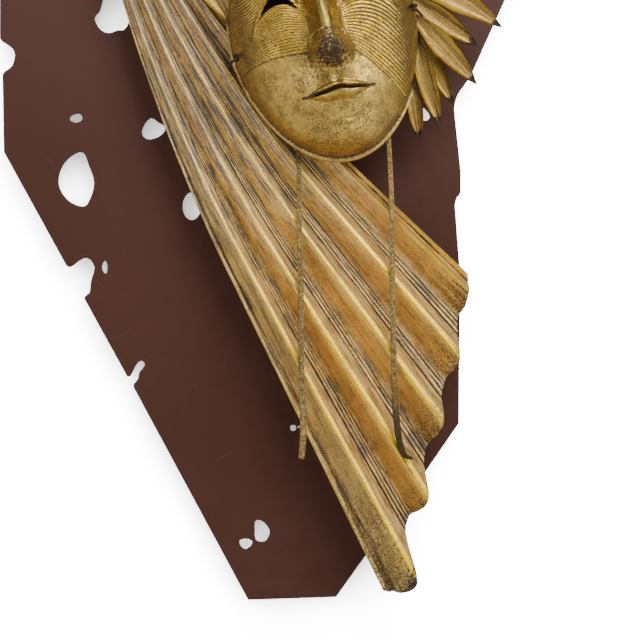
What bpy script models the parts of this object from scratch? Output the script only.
"""A gilded half-length wall mask with a swirling crown of leaf rays, carried on a pleated
gilded drape in front of a torn sheet-metal back plate, with two flat ties.

The model faces -Y and hangs on a wall. Lengths below are in millimetres and angles in
degrees; solid() turns them into metres. The origin is on the plate's back face.
"""

import math

import bmesh
import bpy
import numpy as np
from mathutils import Vector

MM = 0.001
GAP = 0.3  # between pieces that touch

# Back plate
PLATE_T = 3.0
PLATE_EDGE = [  # (x, z), anticlockwise from the lower left corner as seen from the back
    (-27.8, -525), (-114, -365), (-110.3, -359), (-109.3, -354), (-105.3, -349),
    (-107.3, -345.7), (-111, -347.6), (-116.5, -357.5), (-118.4, -357.5), (-151, -298.5),
    (-147, -294.8), (-145.5, -285), (-143, -276), (-146, -270), (-151, -268.5),
    (-164, -274.5), (-211, -189), (-212, -131), (-205, -124.5), (-203, -114),
    (-209, -108), (-214, -104), (-214, -45), (-179, 52.5), (-161, 101), (-79, 110),
    (-74, 102), (-64, 100), (-58, 107), (-59, 112.5), (34, 121.5), (139, 86), (197, -6),
    (165, -75), (140, -130.5), (134.7, -138.8), (129.4, -146.6), (127, -157.5),
    (131.8, -202.5), (131.8, -219.4), (129, -223.5), (127.5, -228.8), (131.2, -277.5),
    (130.4, -392.6), (105.8, -428.3), (38.3, -522.8),
]
TORN_HOLES = {  # torn through the sheet, each an outline of (x, z)
    "upper_left": [
        (-137, -75), (-139, -82.5), (-143, -88.5), (-138, -97.5), (-132, -99.8),
        (-125, -97.5), (-121, -97.5), (-117.4, -92), (-115, -81), (-118, -69),
        (-127, -63), (-134, -66),
    ],
    "left_speck": [(-162, -163.5), (-157, -167), (-152, -164), (-155, -160)],
    "leaf_shaped": [
        (-107.6, -173.3), (-101, -163.3), (-95.4, -166.5), (-89.8, -170.8), (-94, -177),
        (-104, -179.3),
    ],
    "left_edge": [
        (-167, -199), (-157.5, -190), (-151.5, -189.5), (-147, -200), (-143.7, -209),
        (-143.7, -216), (-147, -225.5), (-151, -229.8), (-163, -225), (-170, -213),
    ],
    "slot": [(-137.6, -274.5), (-134.6, -270.4), (-133.7, -279.8), (-135.8, -279.8)],
    "low_large": [
        (-21, -465), (-11.7, -472.5), (-14.5, -480.8), (-18.3, -481.5), (-22, -480),
        (-22.7, -473.3),
    ],
    "low_small": [(-33.8, -480), (-24.8, -480.8), (-28.9, -487), (-33.2, -485)],
    "right_speck": [(102, -155.8), (104.3, -155.8), (108.8, -162.8), (103.8, -165.5)],
}
ROUND_HOLES = {  # centre x, z and the two radii
    "oval": (-70, -229.5, 7, 10.5),
    "round": (6, -396, 2.5, 2.5),
    "pinhole": (10.2, -395.3, 0.9, 0.9),
}
HOLE_STEP = 2.2  # length of the sides of a round hole
TEAR_REACH = 16.0  # sides of an outline shorter than this are torn, and curved
TEAR_STEP = 3.5  # length of the straight pieces of a torn side

# Pleated drape: a fan of ridges about a point above and left of it
FAN_X = -192.6
FAN_Z = 27.9
FAN_LEFT = 26.1  # angle of the left edge from straight down
FAN_RIGHT = 46.6
LEFT_LIP = 0.35
RIGHT_LIP = 0.44
RIDGES = [28.5, 32.2, 36.4, 40.9, 45.5]
FAN_TOP = 46.0  # radius where the drape starts
FAN_END = [  # (angle, radius) along the scalloped lower end
    (26.1, 596), (27.1, 607), (28.6, 607), (29.0, 598), (29.15, 574), (30.3, 563),
    (32.0, 560), (32.55, 555), (33.3, 535.5), (34.3, 526.7), (35.75, 521), (36.7, 515),
    (37.7, 502.6), (38.95, 495.3), (40.7, 489.5), (41.9, 477.8), (43.1, 467.6),
    (44.4, 463.2), (46.1, 454.5), (46.6, 449),
]
VALLEY_DEPTH = 18.0  # from the plate to the valleys, at the fan's centre
VALLEY_RISE = 0.010  # more for each millimetre of radius
RIDGE_RISE = 0.042  # ridge height over the valley for each millimetre of radius
BEND_FROM = 350.0  # above this radius the drape bends sideways
BEND = 16.0
BEND_REACH = 206.5
BEND_SPREAD = 0.3  # how much more the right edge bends than the left
TOP_ROUND = 16.0  # length of the rounded upper end
# One pleat from ridge to ridge: (share of its width, share of its height)
PLEAT = [
    (0.0, 1.0), (0.06, 0.90), (0.13, 0.62), (0.25, 0.14), (0.31, 0.20), (0.37, 0.06),
    (0.43, 0.13), (0.49, 0.0), (0.56, 0.10), (0.76, 0.50), (0.91, 0.86), (1.0, 1.0),
]
FAN_ROWS = 17

# Mask: an egg-shaped dome, placed by the middle of its eye line
MASK_X = 26.6
MASK_Z = -94.4
MASK_TILT = 12.0  # the top leans to the left
MASK_PITCH = 3.0  # the chin stands further out
FACE = 107.0  # eye line to chin
HALF_WIDTH = 69.5
WIDEST = -16.0  # height of the widest place over the eye line
CROWN = 98.0  # top of the mask over the eye line
JAW_TAPER = 0.10
DOME = 50.0
DOME_POWER = 2.3
WALL = 4.0
LIP = 5.0  # height of the band along the rim
LIP_ROUND = 0.8  # how far the band's edge slopes down
LIP_STEP = 0.022  # how far the dome stands in from the band, as a share of the half width
FEATURE_KEPT = 0.7  # share of the raised features that the inside follows

# Face forms: (u, v, width, height, rise); a pair is mirrored. All but the rise are
# shares of the eye line to chin length.
PAIRED_FORMS = [
    (0.28, 0.190, 0.180, 0.065, 0.050),  # brow
    (0.28, 0.040, 0.140, 0.090, -0.075),  # eye socket
    (0.12, 0.020, 0.045, 0.065, -0.060),  # inner corner
    (0.28, 0.010, 0.095, 0.050, 0.050),  # eyelid
    (0.41, -0.180, 0.160, 0.120, 0.040),  # cheekbone
    (0.33, -0.520, 0.110, 0.130, -0.025),  # hollow cheek
    (0.095, -0.345, 0.042, 0.040, 0.070),  # wing of the nose
    (0.055, -0.555, 0.060, 0.026, 0.028),  # upper lip
]
MIDDLE_FORMS = [
    (0.0, -0.580, 0.190, 0.140, 0.060),  # muzzle
    (0.0, -0.500, 0.024, 0.050, -0.012),  # groove under the nose
    (0.0, -0.600, 0.150, 0.013, -0.032),  # line of the mouth
    (0.0, -0.650, 0.105, 0.036, 0.045),  # lower lip
    (0.0, -0.745, 0.130, 0.042, -0.030),  # groove over the chin
    (0.0, -0.865, 0.130, 0.085, 0.065),  # chin
]
NOSE_TOP = 0.17
NOSE_TIP = -0.33
NOSE_BASE = -0.43
NOSE_RISE = (0.035, 0.185)  # at the root and at the tip
NOSE_WIDTH = (0.050, 0.075)
EYE_U = 0.28  # middle of each eye opening
EYE_WIDTH = 0.26
EYE_TOP = 0.13  # how far the upper edge of the opening bows up
EYE_BOTTOM = 0.055  # and the lower edge, so that the opening is a crescent
EYE_DROP = -0.02
GRID_U = [0.07, 0.14, 0.21, 0.28, 0.36, 0.44, 0.53, 0.63, 0.74, 0.84, 0.93, 0.98, 1.0]
GRID_V = [  # heights of the mask's rows on its middle line, as shares of the face length
    0.91, 0.86, 0.75, 0.62, 0.49, 0.37, 0.27, 0.20, 0.13, 0.07, 0.01, -0.06, -0.13,
    -0.20, -0.26, -0.31, -0.35, -0.39, -0.43, -0.48, -0.53, -0.56, -0.60, -0.63, -0.67,
    -0.71, -0.76, -0.82, -0.88, -0.93, -0.97, -0.995,
]

# Tie holes through the temples: (side, height over the eye line)
TEMPLES = {"left": (-1, -22.0), "right": (1, -13.0)}
TEMPLE_DEPTH = 24.0  # from the rim plane
TEMPLE_SLANT = 40.0  # of the hole, outwards from the rim plane
TIE_D = 4.0
HOLE_CLEARANCE = 1.0
KNOT_D = 7.0

# Leaf rays: (angle of the root, length, width, direction from the root's own, curl)
FRONT_RAYS = [
    (-17.6, 60.5, 13.5, -68, 4), (0, 66, 16, -58, -6), (30, 85.5, 19, -70, -15),
    (54, 88, 20, -67, -15), (78, 92, 20, -64, -15), (103, 94, 20, -62, -15),
    (130, 90, 20, -60, -15), (160, 84, 20, -57, -12),
]
BACK_RAYS = [
    (-42, 37.5, 10.5, -51, 0), (-9, 58, 13, -64, 0), (15, 62, 16, -61, -6),
    (42, 72, 17, -64, -12), (66, 76, 18, -62, -12), (90, 80, 18, -60, -12),
    (116, 78, 18, -59, -12), (145, 72, 18, -57, -12),
]
FRONT_ROOT = 12.0  # height of the root over the rim plane
BACK_ROOT = 5.0
RAY_DROP = 9.0  # from root to tip
RAY_SINK = 0.94  # where a leaf starts, as a share of the way to the mask's edge
RAY_TIP = 0.5  # half width of a leaf's blunt tip
RAY_T = 4.0
RIB = 1.0  # height of the rounded middle of a ray
RAY_STATIONS = 8

# Ties: points on the middle of each, (x, height over the plate, z)
TIES = {
    "left": [
        (-30.3, 54.7, -127.7), (-26.1, 51.2, -127.0), (-22.0, 47.4, -127.0),
        (-17.5, 43.5, -131.5), (-13.0, 40.3, -140.0), (-7.0, 36.5, -151.0),
        (0.0, 32.5, -163.0), (6.0, 29.2, -174.5), (9.4, 28.2, -185.0),
        (10.2, 30.3, -193.5), (10.5, 34.2, -200.0), (11.0, 36.9, -208.0),
        (11.3, 38.7, -249.0), (12.4, 40.5, -296.0), (12.8, 42.9, -346.0),
        (13.8, 43.5, -378.0), (14.0, 43.4, -400.0), (12.7, 43.2, -415.0),
    ],
    "right": [
        (90.3, 54.3, -92.8), (86.2, 50.8, -93.9), (82.4, 47.7, -96.5),
        (79.6, 45.3, -103.0), (78.0, 43.0, -114.0), (77.2, 40.3, -129.0),
        (76.6, 36.8, -145.0), (76.2, 32.8, -159.0), (76.1, 30.0, -170.0),
        (76.2, 29.3, -179.0), (76.5, 30.4, -188.0), (77.2, 34.0, -203.0),
        (77.8, 37.6, -220.0), (78.2, 40.5, -239.0), (78.4, 42.3, -286.0),
        (79.2, 44.5, -340.0), (80.4, 46.3, -378.0), (83.4, 47.3, -403.0),
        (87.2, 47.7, -412.0), (92.7, 47.5, -414.5),
    ],
}
TIE_STEP = 7.0  # between the points of a tie's curve


def linear(table, x):
    """Value at x of a piecewise straight line through the table's points."""
    return float(np.interp(x, [p[0] for p in table], [p[1] for p in table]))


def solid(name, points, faces, material):
    """Object with a closed mesh, from points in millimetres."""
    mesh = bpy.data.meshes.new(name)
    mesh.from_pydata([Vector(p) * MM for p in points], [], faces)
    bm = bmesh.new()
    bm.from_mesh(mesh)
    bmesh.ops.recalc_face_normals(bm, faces=bm.faces)
    bm.to_mesh(mesh)
    bm.free()
    mesh.materials.append(material)
    obj = bpy.data.objects.new(name, mesh)
    bpy.context.collection.objects.link(obj)
    return obj


def cutter(name, points, faces):
    """Helper object for a Boolean, left out of the model."""
    obj = solid(name, points, faces, MATERIALS["gilding"])
    obj.hide_render = True
    obj.display_type = "WIRE"
    return obj


def combine(obj, other, operation):
    """Boolean of two objects that stays on the first as a modifier."""
    modifier = obj.modifiers.new(other.name, "BOOLEAN")
    modifier.operation = operation
    modifier.object = other
    modifier.use_self = operation == "UNION"
    return modifier


def material(name, colour, roughness, metallic):
    m = bpy.data.materials.new(name)
    m.use_nodes = True
    shader = m.node_tree.nodes["Principled BSDF"]
    shader.inputs["Base Color"].default_value = (*colour, 1.0)
    shader.inputs["Roughness"].default_value = roughness
    shader.inputs["Metallic"].default_value = metallic
    m.diffuse_color = (*colour, 1.0)
    return m


def prism(outline, y_low, y_high, first):
    """Points and faces of an outline extruded along Y; first is the index to count from."""
    n = len(outline)
    points = [(x, y_low, z) for x, z in outline] + [(x, y_high, z) for x, z in outline]
    faces = [list(range(first, first + n)), list(range(first + 2 * n - 1, first + n - 1, -1))]
    for i in range(n):
        j = (i + 1) % n
        faces.append([first + i, first + n + i, first + n + j, first + j])
    return points, faces


def ellipse(x, z, rx, rz):
    steps = max(6, round(math.pi * (rx + rz) / HOLE_STEP))
    turn = [2 * math.pi * i / steps for i in range(steps)]
    return [(x + rx * math.cos(t), z + rz * math.sin(t)) for t in turn]


def torn(outline):
    """The outline with its short sides drawn as one flowing curve."""
    points = [Vector((x, z)) for x, z in outline]
    n = len(points)
    smooth = []
    for i, here in enumerate(points):
        before, after, beyond = points[i - 1], points[(i + 1) % n], points[(i + 2) % n]
        length = (after - here).length
        steps = max(1, math.ceil(length / TEAR_STEP)) if length < TEAR_REACH else 1
        leave = (after - before).normalized() * length
        arrive = (beyond - here).normalized() * length
        for k in range(steps):
            t = k / steps
            place = here * (2 * t ** 3 - 3 * t ** 2 + 1) + after * (3 * t ** 2 - 2 * t ** 3)
            place += leave * (t ** 3 - 2 * t ** 2 + t) + arrive * (t ** 3 - t ** 2)
            smooth.append(tuple(place))
    return smooth


def build_plate():
    """Sheet between y = 0, its back, and y = -PLATE_T, with every torn hole cut through."""
    points, faces = prism(torn(PLATE_EDGE), -PLATE_T, 0.0, 0)
    plate = solid("back_plate", points, faces, MATERIALS["painted_sheet"])
    outlines = [torn(hole) for hole in TORN_HOLES.values()]
    outlines += [ellipse(*hole) for hole in ROUND_HOLES.values()]
    points, faces = [], []
    for outline in outlines:
        more, sides = prism(outline, -2 * PLATE_T, PLATE_T, len(points))
        points += more
        faces += sides
    combine(plate, cutter("plate_holes", points, faces), "DIFFERENCE")
    return plate


def fan_point(angle, radius):
    """Place of a point of the drape, as (x, z)."""
    a = math.radians(angle)
    across = (angle - FAN_LEFT) / (FAN_RIGHT - FAN_LEFT)
    over = max(0.0, BEND_FROM - radius) / BEND_REACH
    side = BEND * (1 + BEND_SPREAD * across) * over ** 2
    x = FAN_X + radius * math.sin(a) + side * math.cos(a)
    z = FAN_Z - radius * math.cos(a) + side * math.sin(a)
    return x, z


def fan_coordinates(x, z):
    """Angle and radius of the drape's point at (x, z)."""
    px, pz = x, z
    for _ in range(12):
        radius = math.hypot(px - FAN_X, pz - FAN_Z)
        angle = math.degrees(math.atan2(px - FAN_X, FAN_Z - pz))
        qx, qz = fan_point(angle, radius)
        px += x - qx
        pz += z - qz
    return angle, radius


def pleat_share(angle):
    """Height of the drape's section at an angle, from 0 in a valley to 1 on a ridge."""
    if angle <= RIDGES[0]:
        run = (angle - FAN_LEFT) / (RIDGES[0] - FAN_LEFT)
        lip = LEFT_LIP / (RIDGES[0] - FAN_LEFT)
        edge = [(0, 0.25), (lip, 0.32), (1.6 * lip, 0.06), (0.5, 0.38), (0.85, 0.88), (1, 1)]
        return linear(edge, run)
    if angle >= RIDGES[-1]:
        run = (angle - RIDGES[-1]) / (FAN_RIGHT - RIDGES[-1])
        lip = 1 - RIGHT_LIP / (FAN_RIGHT - RIDGES[-1])
        return linear([(0, 1), (0.2, 0.8), (lip - 0.08, 0.3), (lip, 0.46), (1, 0.42)], run)
    cell = max(i for i, ridge in enumerate(RIDGES) if ridge <= angle)
    run = (angle - RIDGES[cell]) / (RIDGES[cell + 1] - RIDGES[cell])
    return linear(PLEAT, run)


def drape_height(angle, radius):
    """Height of the drape's face over the plate."""
    height = VALLEY_DEPTH + VALLEY_RISE * radius + RIDGE_RISE * radius * pleat_share(angle)
    near = min(1.0, (radius - FAN_TOP) / TOP_ROUND)
    return height * (0.55 + 0.45 * math.sqrt(max(0.0, 1 - (1 - near) ** 2)))


def drape_under(x, z):
    """Height of the drape at a place, or 0 where there is none."""
    angle, radius = fan_coordinates(x, z)
    inside = FAN_LEFT <= angle <= FAN_RIGHT and FAN_TOP <= radius <= linear(FAN_END, angle)
    return drape_height(angle, radius) if inside else 0.0


def build_drape():
    """One carved solid: a pleated face, upright edges and a flat back."""
    first, last = RIDGES[0] - FAN_LEFT, FAN_RIGHT - RIDGES[-1]
    angles = [FAN_LEFT, FAN_LEFT + LEFT_LIP, FAN_LEFT + 1.6 * LEFT_LIP]
    angles += [FAN_LEFT + 0.5 * first, FAN_LEFT + 0.85 * first]
    for low, high in zip(RIDGES, RIDGES[1:]):
        angles += [low + share * (high - low) for share, _ in PLEAT[:-1]]
    angles += [RIDGES[-1], RIDGES[-1] + 0.2 * last]
    angles += [FAN_RIGHT - RIGHT_LIP - 0.08 * last, FAN_RIGHT - RIGHT_LIP, FAN_RIGHT]
    points = []
    for angle in angles:
        end = linear(FAN_END, angle)
        for row in range(FAN_ROWS):
            share = (row / (FAN_ROWS - 1)) ** 1.35
            radius = FAN_TOP + (end - FAN_TOP) * share
            x, z = fan_point(angle, radius)
            points.append((x, -PLATE_T - drape_height(angle, radius), z))
    faces = []
    for c in range(len(angles) - 1):
        for r in range(FAN_ROWS - 1):
            i = c * FAN_ROWS + r
            faces.append([i, i + 1, i + FAN_ROWS + 1, i + FAN_ROWS])
    columns = len(angles)
    rim = [c * FAN_ROWS for c in range(columns)]
    rim += [(columns - 1) * FAN_ROWS + r for r in range(1, FAN_ROWS)]
    rim += [c * FAN_ROWS + FAN_ROWS - 1 for c in range(columns - 2, -1, -1)]
    rim += list(range(FAN_ROWS - 2, 0, -1))
    base = len(points)
    points += [(points[i][0], -PLATE_T - GAP, points[i][2]) for i in rim]
    for k, i in enumerate(rim):
        m = (k + 1) % len(rim)
        faces.append([i, rim[m], base + m, base + k])
    faces.append([base + k for k in range(len(rim))])
    return solid("pleated_drape", points, faces, MATERIALS["gilding"])


def egg(turn):
    """Point of the mask's outline at a parameter angle, as (u, v)."""
    s, c = math.sin(turn), math.cos(turn)
    if s > 0:
        return HALF_WIDTH * c, WIDEST + (CROWN - WIDEST) * s
    return HALF_WIDTH * c * (1 + JAW_TAPER * s), WIDEST + (FACE + WIDEST) * s


def bump(u, v, form):
    u0, v0, width, height, rise = form
    return rise * math.exp(-0.5 * (((u - u0) / width) ** 2 + ((v - v0) / height) ** 2))


def face_forms(u, v, kept):
    """Rise of the face over the plain dome; kept scales what is raised."""
    x, y = u / FACE, v / FACE
    total = 0.0
    for form in PAIRED_FORMS:
        total += bump(abs(x), y, form) * (kept if form[4] > 0 else 1.0)
    for form in MIDDLE_FORMS:
        total += bump(x, y, form) * (kept if form[4] > 0 else 1.0)
    along = min(1.0, max(0.0, (NOSE_TOP - y) / (NOSE_TOP - NOSE_TIP)))
    rise = NOSE_RISE[0] + (NOSE_RISE[1] - NOSE_RISE[0]) * along ** 1.3
    width = NOSE_WIDTH[0] + (NOSE_WIDTH[1] - NOSE_WIDTH[0]) * along
    start = 1 / (1 + math.exp(-(NOSE_TOP + 0.06 - y) / 0.03))
    stop = 1 / (1 + math.exp(-(y - NOSE_BASE) / 0.014))
    total += kept * rise * start * stop * math.exp(-0.5 * (x / width) ** 2 * (1 + abs(x / width)))
    return FACE * total


def dome(share, rise):
    return rise * math.sqrt(max(0.0, 1 - min(1.0, share) ** DOME_POWER))


def mask_axes():
    """Directions of the mask's u, v and outward axes."""
    t, p = math.radians(MASK_TILT), math.radians(MASK_PITCH)
    u = Vector((math.cos(t), 0, math.sin(t)))
    up = Vector((-math.sin(t), 0, math.cos(t)))
    out = Vector((0, -1, 0))
    return u, up * math.cos(p) - out * math.sin(p), out * math.cos(p) + up * math.sin(p)


def mask_place(u, v, w, seat):
    """World point, in millimetres, of a point of the mask."""
    across, up, out = mask_axes()
    middle = Vector((MASK_X, -PLATE_T - seat, MASK_Z))
    return middle + across * u + up * v + out * w


def disc_rows(us, vs):
    """Grid of the mask's outline: rows of (u share, v share, share from the middle)."""
    rows = []
    for t in vs:
        row = []
        for s in us:
            a, b = s * math.sqrt(1 - t * t / 2), t * math.sqrt(1 - s * s / 2)
            turn, share = math.atan2(b, a), min(1.0, math.hypot(a, b))
            row.append((turn, share))
        rows.append(row)
    return rows


def dome_solid(rows, scale, rise, kept, skirt):
    """Closed solid under a dome. Below the dome its side runs down to the skirt height."""
    points, faces = [], []
    width, height = len(rows[0]), len(rows)
    for row in rows:
        for turn, share in row:
            eu, ev = egg(turn)
            u, v = eu * share * scale, WIDEST + (ev - WIDEST) * share * scale
            fade = 1 - share ** 6
            w = LIP + dome(share, rise - LIP) + fade * face_forms(u, v, kept)
            points.append((u, v, w))
    for r in range(height - 1):
        for c in range(width - 1):
            i = r * width + c
            faces.append([i, i + 1, i + width + 1, i + width])
    edge = list(range(width)) + [r * width + width - 1 for r in range(1, height)]
    edge += [(height - 1) * width + c for c in range(width - 2, -1, -1)]
    edge += [r * width for r in range(height - 2, 0, -1)]
    loops = [edge]
    for grow, w in skirt:
        first = len(points)
        for i in edge:
            u, v, _ = points[i]
            points.append((u * grow, WIDEST + (v - WIDEST) * grow, w))
        loops.append(list(range(first, first + len(edge))))
    for upper, lower in zip(loops, loops[1:]):
        for k in range(len(edge)):
            m = (k + 1) % len(edge)
            faces.append([upper[k], upper[m], lower[m], lower[k]])
    faces.append(loops[-1])
    return points, faces


def mask_rows(step):
    us = [-u for u in reversed(GRID_U)] + [0.0] + GRID_U
    vs = []
    for height in GRID_V:
        v = height * FACE - WIDEST
        vs.append(v / (CROWN - WIDEST if v > 0 else FACE + WIDEST))
    vs = [1.0] + [v for v in vs if abs(v) < 0.995] + [-1.0]
    if step > 1:
        us = us[:1] + us[1:-1][step - 1::step] + us[-1:]
        vs = vs[:1] + vs[1:-1][step - 1::step] + vs[-1:]
    return disc_rows(us, vs)


def ray_shape(run):
    """Half width of a leaf along its length, as a share of its widest."""
    return min(1.0, 0.3 + 2.2 * run) * (1 - max(0.0, (run - 0.45) / 0.55) ** 2)


def ray_points(ray, root_height):
    """Stations of one leaf: four points of its section each, in the mask's own axes."""
    angle, length, width, turn, curl = ray
    t = math.radians(angle)
    high = CROWN - WIDEST if angle > 0 else FACE + WIDEST
    reach = RAY_SINK / math.hypot(math.cos(t) / HALF_WIDTH, math.sin(t) / high)
    u, v = reach * math.cos(t), WIDEST + reach * math.sin(t)
    stations = []
    step = length / (RAY_STATIONS - 1)
    for i in range(RAY_STATIONS):
        run = i / (RAY_STATIONS - 1)
        heading = math.radians(angle + turn + curl * (run - 0.5))
        half = 0.5 * width * ray_shape(run) + RAY_TIP
        across = (-math.sin(heading), math.cos(heading))
        w = root_height - RAY_DROP * run
        thick = RAY_T * (0.75 + 0.25 * math.sin(math.pi * run))
        stations.append([
            (u + across[0] * half, v + across[1] * half, w),
            (u, v, w + RIB),
            (u - across[0] * half, v - across[1] * half, w),
            (u, v, w - thick),
        ])
        u += math.cos(heading) * step
        v += math.sin(heading) * step
    return stations


def all_rays():
    rays = [ray_points(ray, FRONT_ROOT) for ray in FRONT_RAYS]
    return rays + [ray_points(ray, BACK_ROOT) for ray in BACK_RAYS]


def mask_seat():
    """Height of the mask's middle over the plate that rests it on the drape's ridges."""
    under = [(*egg(math.radians(a)), 0.0) for a in range(360)]
    for ray in all_rays():
        under += [point for station in ray for point in station]
    seat = 0.0
    for u, v, w in under:
        place = mask_place(u, v, w, 0.0)
        seat = max(seat, drape_under(place.x, place.z) + place.y + PLATE_T)
    return seat + GAP


def placed(points, seat):
    return [mask_place(u, v, w, seat) for u, v, w in points]


def eye_outline(side):
    """Crescent opening of one eye, as (u, v)."""
    upper, lower = [], []
    for i in range(9):
        s = -1 + i / 4
        u = side * FACE * (EYE_U + 0.5 * EYE_WIDTH * s)
        upper.append((u, FACE * (EYE_DROP + EYE_TOP * (1 - s * s))))
        if 0 < i < 8:
            lower.append((u, FACE * (EYE_DROP + EYE_BOTTOM * (1 - s * s))))
    return upper + lower[::-1]


def tube(start, end, radius, sides):
    """Points and faces of a straight round bar."""
    along = (end - start).normalized()
    one = along.orthogonal().normalized()
    two = along.cross(one)
    points = []
    for centre in (start, end):
        for i in range(sides):
            t = 2 * math.pi * i / sides
            points.append(centre + one * radius * math.cos(t) + two * radius * math.sin(t))
    faces = [list(range(sides)), list(range(2 * sides - 1, sides - 1, -1))]
    for i in range(sides):
        j = (i + 1) % sides
        faces.append([i, j, sides + j, sides + i])
    return points, faces


def temple(side, height, seat):
    """Middle of a tie hole on the mask's face, and the way out of it."""
    slant = math.radians(TEMPLE_SLANT)
    inner = [w for w in np.linspace(0.7, 1.0, 61) if LIP + dome(w, DOME - LIP) >= TEMPLE_DEPTH]
    u = side * HALF_WIDTH * (1 - LIP_STEP) * max(inner)
    across, _, out = mask_axes()
    place = mask_place(u, height, TEMPLE_DEPTH, seat)
    return place, across * side * math.cos(slant) + out * math.sin(slant)


def build_mask(seat):
    """Hollow mask and its crown of rays, one carved piece."""
    inset = 1 - LIP_STEP
    points, faces = dome_solid(
        mask_rows(1), inset, DOME, 1.0, [(1.0, LIP), (1 / inset, LIP - LIP_ROUND), (1 / inset, 0.0)]
    )
    mask = solid("sunburst_mask", placed(points, seat), faces, MATERIALS["gilding"])
    points, faces = [], []
    for stations in all_rays():
        first = len(points)
        for station in stations:
            points += station
        faces.append([first, first + 1, first + 2, first + 3])
        for s in range(RAY_STATIONS - 1):
            for k in range(4):
                i, j = first + 4 * s + k, first + 4 * s + (k + 1) % 4
                faces.append([i, j, j + 4, i + 4])
        last = first + 4 * (RAY_STATIONS - 1)
        faces.append([last + 3, last + 2, last + 1, last])
    rays = cutter("crown_of_rays", placed(points, seat), faces)
    combine(mask, rays, "UNION")
    inside = inset * (1 - WALL / HALF_WIDTH)
    points, faces = dome_solid(mask_rows(2), inside, DOME - WALL, FEATURE_KEPT, [(1.0, -WALL)])
    combine(mask, cutter("hollow", placed(points, seat), faces), "DIFFERENCE")
    for side, name in ((-1, "left"), (1, "right")):
        outline = eye_outline(side)
        n = len(outline)
        points = [(u, v, 0.2 * DOME) for u, v in outline] + [(u, v, 1.6 * DOME) for u, v in outline]
        faces = [list(range(n)), list(range(2 * n - 1, n - 1, -1))]
        faces += [[i, (i + 1) % n, n + (i + 1) % n, n + i] for i in range(n)]
        combine(mask, cutter(name + "_eye", placed(points, seat), faces), "DIFFERENCE")
        place, way = temple(*TEMPLES[name], seat)
        points, faces = tube(
            place - way * 3 * WALL, place + way * 3 * WALL, TIE_D / 2 + HOLE_CLEARANCE, 10
        )
        combine(mask, cutter(name + "_tie_hole", points, faces), "DIFFERENCE")
    return mask


def smooth_route(route):
    """Points at even steps on a smooth curve through the route's own points."""
    ends = [route[0] * 2 - route[1]] + route + [route[-1] * 2 - route[-2]]
    fine = []
    for i in range(1, len(ends) - 2):
        a, b, c, d = ends[i - 1:i + 3]
        for k in range(20):
            t = k / 20
            fine.append(
                0.5 * (2 * b + (c - a) * t + (2 * a - 5 * b + 4 * c - d) * t ** 2
                       + (3 * b - a - 3 * c + d) * t ** 3)
            )
    fine.append(route[-1])
    along = [0.0]
    for p, q in zip(fine, fine[1:]):
        along.append(along[-1] + (q - p).length)
    count = round(along[-1] / TIE_STEP)
    steps = np.linspace(0, along[-1], count + 1)
    columns = [np.interp(steps, along, [p[k] for p in fine]) for k in range(3)]
    return [Vector(p) for p in zip(*columns)]


def build_tie(name):
    """Leather tie as a tube on its own curve, hanging free below the mask."""
    route = [Vector((x, -PLATE_T - height, z)) for x, height, z in TIES[name]]
    line = smooth_route(route)
    curve = bpy.data.curves.new(name + "_tie", "CURVE")
    curve.dimensions = "3D"
    curve.bevel_depth = TIE_D / 2 * MM
    curve.bevel_resolution = 2
    curve.use_fill_caps = True
    spline = curve.splines.new("POLY")
    spline.points.add(len(line) - 1)
    for point, place in zip(spline.points, line):
        point.co = (*(place * MM), 1.0)
    curve.materials.append(MATERIALS["tie"])
    obj = bpy.data.objects.new(name + "_tie", curve)
    bpy.context.collection.objects.link(obj)
    return obj


def build_knot(name, seat):
    """Small flattened knot that stops the tie at the outside of its hole."""
    place, way = temple(*TEMPLES[name], seat)
    centre = place + way * (0.5 * KNOT_D + GAP)
    one = way.orthogonal().normalized()
    two = way.cross(one)
    rings, sides = 5, 10
    points = [centre - way * KNOT_D * 0.36]
    for r in range(1, rings):
        tilt = math.pi * r / rings
        for i in range(sides):
            t = 2 * math.pi * i / sides
            flat = 0.5 * KNOT_D * math.sin(tilt)
            points.append(
                centre - way * KNOT_D * 0.36 * math.cos(tilt)
                + one * flat * math.cos(t) + two * flat * math.sin(t)
            )
    points.append(centre + way * KNOT_D * 0.36)
    faces = [[0, 1 + i, 1 + (i + 1) % sides] for i in range(sides)]
    for r in range(rings - 2):
        for i in range(sides):
            a, b = 1 + r * sides + i, 1 + r * sides + (i + 1) % sides
            faces.append([a, b, b + sides, a + sides])
    top, last = len(points) - 1, 1 + (rings - 2) * sides
    faces += [[last + i, last + (i + 1) % sides, top] for i in range(sides)]
    return solid(name + "_tie_knot", points, faces, MATERIALS["tie"])


for old in list(bpy.data.objects):
    bpy.data.objects.remove(old, do_unlink=True)

MATERIALS = {
    "painted_sheet": material("painted_sheet", (0.075, 0.030, 0.022), 0.55, 0.0),
    "gilding": material("gilding", (0.50, 0.33, 0.10), 0.38, 1.0),
    "tie": material("tie", (0.33, 0.24, 0.10), 0.7, 0.0),
}

build_plate()
build_drape()
SEAT = mask_seat()
build_mask(SEAT)
for tie in TIES:
    build_tie(tie)
    build_knot(tie, SEAT)
